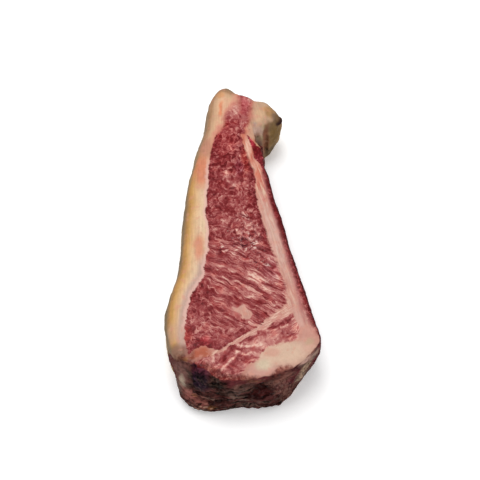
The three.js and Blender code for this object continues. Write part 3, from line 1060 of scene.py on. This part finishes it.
def lean_paleness(g, place):
    """How pale the lean is, with white flecks of painted highlight and black gaps of painted shade in
    its torn places.
    """
    drift = g.noise(place, 10, detail=1, kind="Color")
    curl = g.noise(place, 3.2, detail=1, kind="Color")
    streaky = g.rise(g.plus(g.field("streaky"), g.centred(g.noise(place, 6), 1.2)), 0.35, 0.65)
    warp = g.times(g.shifted(drift, (-0.5,) * 3), (8,) * 3)
    curling = g.even(g.blend(streaky, 2.2, 1.3))
    warp = g.shifted(warp, g.times(g.shifted(curl, (-0.5,) * 3), curling))
    warped = g.shifted(place, warp)
    flow = g.shifted(g.vector(g.field("along"), g.field("across"), g.height(place)), warp)
    streak_tone, streak_border = bundles(g, flow, (13, 2.3, 6), 0)
    cell_tone, cell_border = bundles(g, warped, (2.4,) * 3, 5)
    long_fibres = g.stretched(flow, (1 / 11, 1 / 1.5, 1 / 5))
    short_fibres = g.noise(warped, 2.2, detail=3, roughness=0.6)
    border = g.blend(streaky, cell_border, streak_border)
    where = g.rise(g.noise(place, 5), 0.4, 0.6)
    pattern = g.plus(
        g.scaled(g.blend(streaky, cell_tone, streak_tone), 0.4),
        g.scaled(border, where, 0.24),
        g.centred(g.blend(streaky, short_fibres, long_fibres), 1.1),
        g.centred(g.noise(place, 7), 0.6),
        g.centred(g.noise(place, 0.8, roughness=0.6), 0.5),
        -0.06,
    )
    # In the torn, wet places the white flecks are painted highlights and the black gaps are painted
    # shade.
    torn = g.noise(g.shifted(g.times(place, (0.8, 1.2, 1)), warp), 3, detail=4, roughness=0.7)
    glint_flecks = g.rise(torn, 0.56, 0.65)
    gap_shade = g.rise(torn, 0.46, 0.36)
    torn = g.plus(g.scaled(glint_flecks, 0.4), g.scaled(gap_shade, -0.45))
    pattern = g.plus(g.scaled(pattern, g.field("lively")), g.scaled(torn, g.field("wet_glint_paint")))
    return g.plus(g.field("paleness"), pattern), glint_flecks, gap_shade


def lean_surface(g, place, pale, glint_flecks, gap_shade):
    """The colour of the marbled lean."""
    lean = g.ramp(pale, [(position, colour(code)) for position, code in LEAN_STOPS])
    lean = g.multiplied(lean, g.field("lean_tint", "Color"))
    glinting = g.scaled(g.field("glinting"), 0.8)
    # Painted shade in the torn gaps, and painted highlights on the glints.
    lean = g.layered(lean, (TORN_GAP_SHADE, gap_shade, glinting), (GLINT, glint_flecks, glinting))
    return g.multiplied(lean, REDDER, g.rise(g.noise(place, 6), 0.5, 0.7), 0.5)


def lean_border(g, place, pale):
    """How far each point is inside the lean's ragged border, and its share of lean."""
    wander = g.centred(g.noise(place, 4.5, detail=4, roughness=0.6), 1.3)
    torn = g.plus(wander, g.scaled(g.math("SUBTRACT", g.field("paleness"), pale), 0.7))
    edge = g.plus(g.field("lean_depth"), g.scaled(torn, g.field("ragged")))
    return edge, g.rise(g.scaled(edge, g.field("sharpness")), -1, 1)


def fat_surface(g, place, sway, specks):
    """The colour of the fat, with strands, creases, chalk and reddish streaks."""
    leaning = g.shifted(place, g.vector(g.field("leaning"), 0, 0))
    strands = g.noise(g.times(leaning, (1, 0.08, 0.5)), 1.3, detail=3, roughness=0.6)
    shade = g.plus(
        g.scaled(g.noise(place, 5, detail=3, roughness=0.6), 0.3),
        g.scaled(specks, 0.2),
        g.centred(strands, g.field("stranded")),
        0.69,
    )
    creases = g.cells(g.times(g.swayed(place, sway, 12), (1, 0.35, 0.9)), 4.5)
    chalk = g.stretched(place, (0.3, 0.1, 0.4), detail=5)
    flush = g.stretched(g.swayed(leaning, sway, 2.5), (0.9, 0.1, 0.5))
    cream = g.stretched(leaning, (0.6, 0.06, 0.3), detail=4)
    streaks = g.vector(g.field("seam_along"), g.scaled(g.field("seam_across"), 7), 0)
    streaks = g.noise(g.swayed(streaks, sway, 4), 6, detail=3, roughness=0.6)
    pink = g.noise(place, 4.2, detail=3)
    walls, flushed, in_seam = g.field("wall"), g.field("flushed"), g.field("in_seam")
    return g.layered(
        g.multiplied(g.field("fat_tint", "Color"), g.even(shade)),
        (FAT_CREASE, walls, 0.25, g.rise(creases, 0.09, 0)),
        (CHALK, walls, 0.45, g.rise(chalk, 0.5, 0.75)),
        (FLUSH, flushed, g.rise(flush, 0.46, 0.66)),
        (CREAM, flushed, 1.2, g.rise(cream, 0.5, 0.7)),
        (SEAM_RED, in_seam, g.rise(streaks, 0.5, 0.64)),
        (SEAM_CREAM, in_seam, g.rise(streaks, 0.5, 0.38)),
        (FAT_PINK, g.field("face"), 0.45, g.rise(pink, 0.52, 0.68)),
    )


def dried_margin(g, place, fresh):
    """The fresh face's colour, browned towards its dried edges."""
    mottled = g.noise(place, 2.6, detail=5, roughness=0.65)
    brown = g.mix(g.rise(mottled, 0.4, 0.6), DRIED_LIGHT, DRIED_DARK)
    spread = g.plus(g.field("dried"), g.centred(mottled, 1.6))
    return g.multiplied(fresh, brown, g.rise(spread, 0.1, 0.95), 0.9)


def crust_surface(g, place, sway):
    """The colour of dried crust and walls of lean, and the crust's fine height."""
    bent = g.swayed(place, g.noise(place, 8, detail=1, kind="Color"), 9)
    blotches = g.stretched(bent, (0.1, 0.18, 0.28), roughness=0.55)
    wrinkles = g.stretched(bent, (0.16, 0.22, 0.65), roughness=0.55)
    grit = g.noise(place, 1.8, detail=3, roughness=0.6)
    tone = g.plus(
        g.scaled(g.rise(blotches, 0.36, 0.64), 1.2),
        g.centred(grit, 1.6),
        g.centred(wrinkles, 3.2),
        -0.6,
    )
    tone = g.math("MAXIMUM", g.plus(g.scaled(tone, g.field("rough")), 0.98), 0.06)
    crust = g.multiplied(g.field("crust_tint", "Color"), g.even(tone))
    raised = g.field("raised")
    # Painted shade: the crust darkens where its relief sinks.
    crust = g.multiplied(crust, HOLLOW_SHADE, g.rise(raised, 0, -1.3))
    # Crests of the relief are lightened: partly pale dust, partly painted highlight.
    dusty_lit_crests = g.plus(g.scaled(raised, 0.1), wrinkles, g.centred(grit, 0.8))
    crust = g.layered(crust, (CREST_DUST_AND_HIGHLIGHT, g.rise(dusty_lit_crests, 0.6, 0.76), 0.09))
    sides = g.field("side")
    swaying = g.swayed(place, sway, 9)
    fibrous = g.stretched(swaying, (0.7, 0.7, 0.1), detail=4, roughness=0.65)
    sheets = g.rise(g.stretched(swaying, (0.06, 0.05, 0.035), detail=5), 0.46, 0.66)
    silver = g.mix(g.rise(fibrous, 0.35, 0.65), SINEW_DARK, SINEW_PALE)
    crust = g.mix(g.scaled(sides, 0.6, sheets), crust, silver)
    crust = g.multiplied(crust, DARK_FIBRE, sides, 0.8, g.rise(fibrous, 0.52, 0.4))
    return crust, g.plus(blotches, wrinkles, g.scaled(grit, 0.6))


def gloss_and_coat(g, place, specks, lean_share, crust_share):
    """How rough the surface is, and how strong its moist coat."""
    lean_adds = g.scaled(lean_share, LEAN_ADDS)
    crust_adds = g.scaled(crust_share, CRUST_ADDS)
    rough = g.plus(lean_adds, crust_adds, g.scaled(specks, SPECKS_ADD), FAT_ROUGHNESS)
    glints = g.rise(g.noise(place, 1.5, roughness=0.6), 0.56, 0.64)
    coat = g.plus(g.scaled(g.field("wet_glint_paint"), glints), g.scaled(glints, 0.15), 0.08)
    coat = g.blend(lean_share, 0.1, coat)
    return rough, g.blend(crust_share, coat, g.scaled(glints, 0.3))


def steak_material():
    """Fat, marbled lean and dried crust in one material."""
    g = Graph("steak")
    place = g.place()
    sway = g.noise(place, 5, kind="Color")
    specks = g.noise(place, 1.3, roughness=0.6)
    pale, glint_flecks, gap_shade = lean_paleness(g, place)
    edge, lean_share = lean_border(g, place, pale)
    fat = fat_surface(g, place, sway, specks)
    fat = g.layered(fat, (MEMBRANE, g.field("membrane"), g.rise(edge, -1.5, -0.5)))
    fresh = g.mix(lean_share, fat, lean_surface(g, place, pale, glint_flecks, gap_shade))
    crust, crags = crust_surface(g, place, sway)
    crust_edge = g.plus(g.field("crust"), g.centred(g.noise(place, 2.5, detail=3), 0.5))
    crust_share = g.rise(crust_edge, 0.35, 0.6)
    height = g.plus(
        g.scaled(pale, lean_share, 0.5),
        g.scaled(specks, 0.3),
        g.scaled(crags, crust_share, 1.2),
    )
    inputs = {"Height": height, "Strength": BUMP_STRENGTH, "Distance": BUMP_HEIGHT * MM}
    bump = g.add("Bump", inputs).outputs[0]
    rough, coat = gloss_and_coat(g, place, specks, lean_share, crust_share)
    inputs = {
        "Base Color": g.mix(crust_share, dried_margin(g, place, fresh), crust),
        "Roughness": rough,
        "Normal": bump,
        "IOR": SURFACE_IOR,
        "Specular IOR Level": 0,
        "Coat Weight": coat,
        "Coat Roughness": COAT_ROUGHNESS,
        "Coat IOR": SURFACE_IOR,
        "Coat Normal": bump,
    }
    return g.finished(inputs)


# The camera and the room, in metres.
AIM = Vector((-1.4, -12.6, 46)) * MM
CAMERA_RAISE = math.radians(60)
CAMERA_FAR = 0.7981
LENS = 85
SENSOR = 36
FLOOR_SIZE = 6
FLOOR_TINT = (0.96, 0.96, 0.96, 1)
FLOOR_ROUGHNESS = 0.9
FLOOR_GLOW = 0.2
ROOM_LIGHT = 0.68
KEY_PLACE = (-0.15, 0.2, 1.2)
KEY_SIZE = 0.6
KEY_POWER = 7.8


def camera():
    """The photograph's view, from above the near end."""
    data = bpy.data.cameras.new("camera")
    data.lens = LENS
    data.sensor_width = SENSOR
    data.clip_start = 0.01
    made = placed("camera", data)
    away = Vector((0, -math.cos(CAMERA_RAISE), math.sin(CAMERA_RAISE)))
    made.location = AIM + away * CAMERA_FAR
    made.rotation_euler = (math.pi / 2 - CAMERA_RAISE, 0, 0)
    bpy.context.scene.camera = made


def floor():
    """A plain white sheet under the steak."""
    half = FLOOR_SIZE / 2 / MM
    corners = np.array([(-half, -half, 0), (half, -half, 0), (half, half, 0), (-half, half, 0)])
    made = new_object("floor", corners, np.array([[0, 1, 2, 3]]))
    inputs = {"Base Color": FLOOR_TINT, "Roughness": FLOOR_ROUGHNESS}
    inputs.update({"Emission Color": (1, 1, 1, 1), "Emission Strength": FLOOR_GLOW})
    made.data.materials.append(Graph("white floor").finished(inputs))


def area_light(name, place, size, power):
    """A soft square lamp that points at the steak."""
    data = bpy.data.lights.new(name, "AREA")
    data.size = size
    data.energy = power
    made = placed(name, data)
    made.location = place
    made.rotation_euler = (-made.location).to_track_quat("-Z", "Y").to_euler()


def room():
    """White light from all round, and a soft lamp behind and to the left."""
    world = bpy.data.worlds.new("studio")
    world.use_nodes = True
    background = world.node_tree.nodes["Background"]
    background.inputs["Color"].default_value = (1, 1, 1, 1)
    background.inputs["Strength"].default_value = ROOM_LIGHT
    bpy.context.scene.world = world
    area_light("key", KEY_PLACE, KEY_SIZE, KEY_POWER)
    bpy.context.scene.view_settings.view_transform = "Standard"


camera()
floor()
room()
skin = steak()
skin.data.materials.append(steak_material())
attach(skin, "root")
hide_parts(*LAYERS)
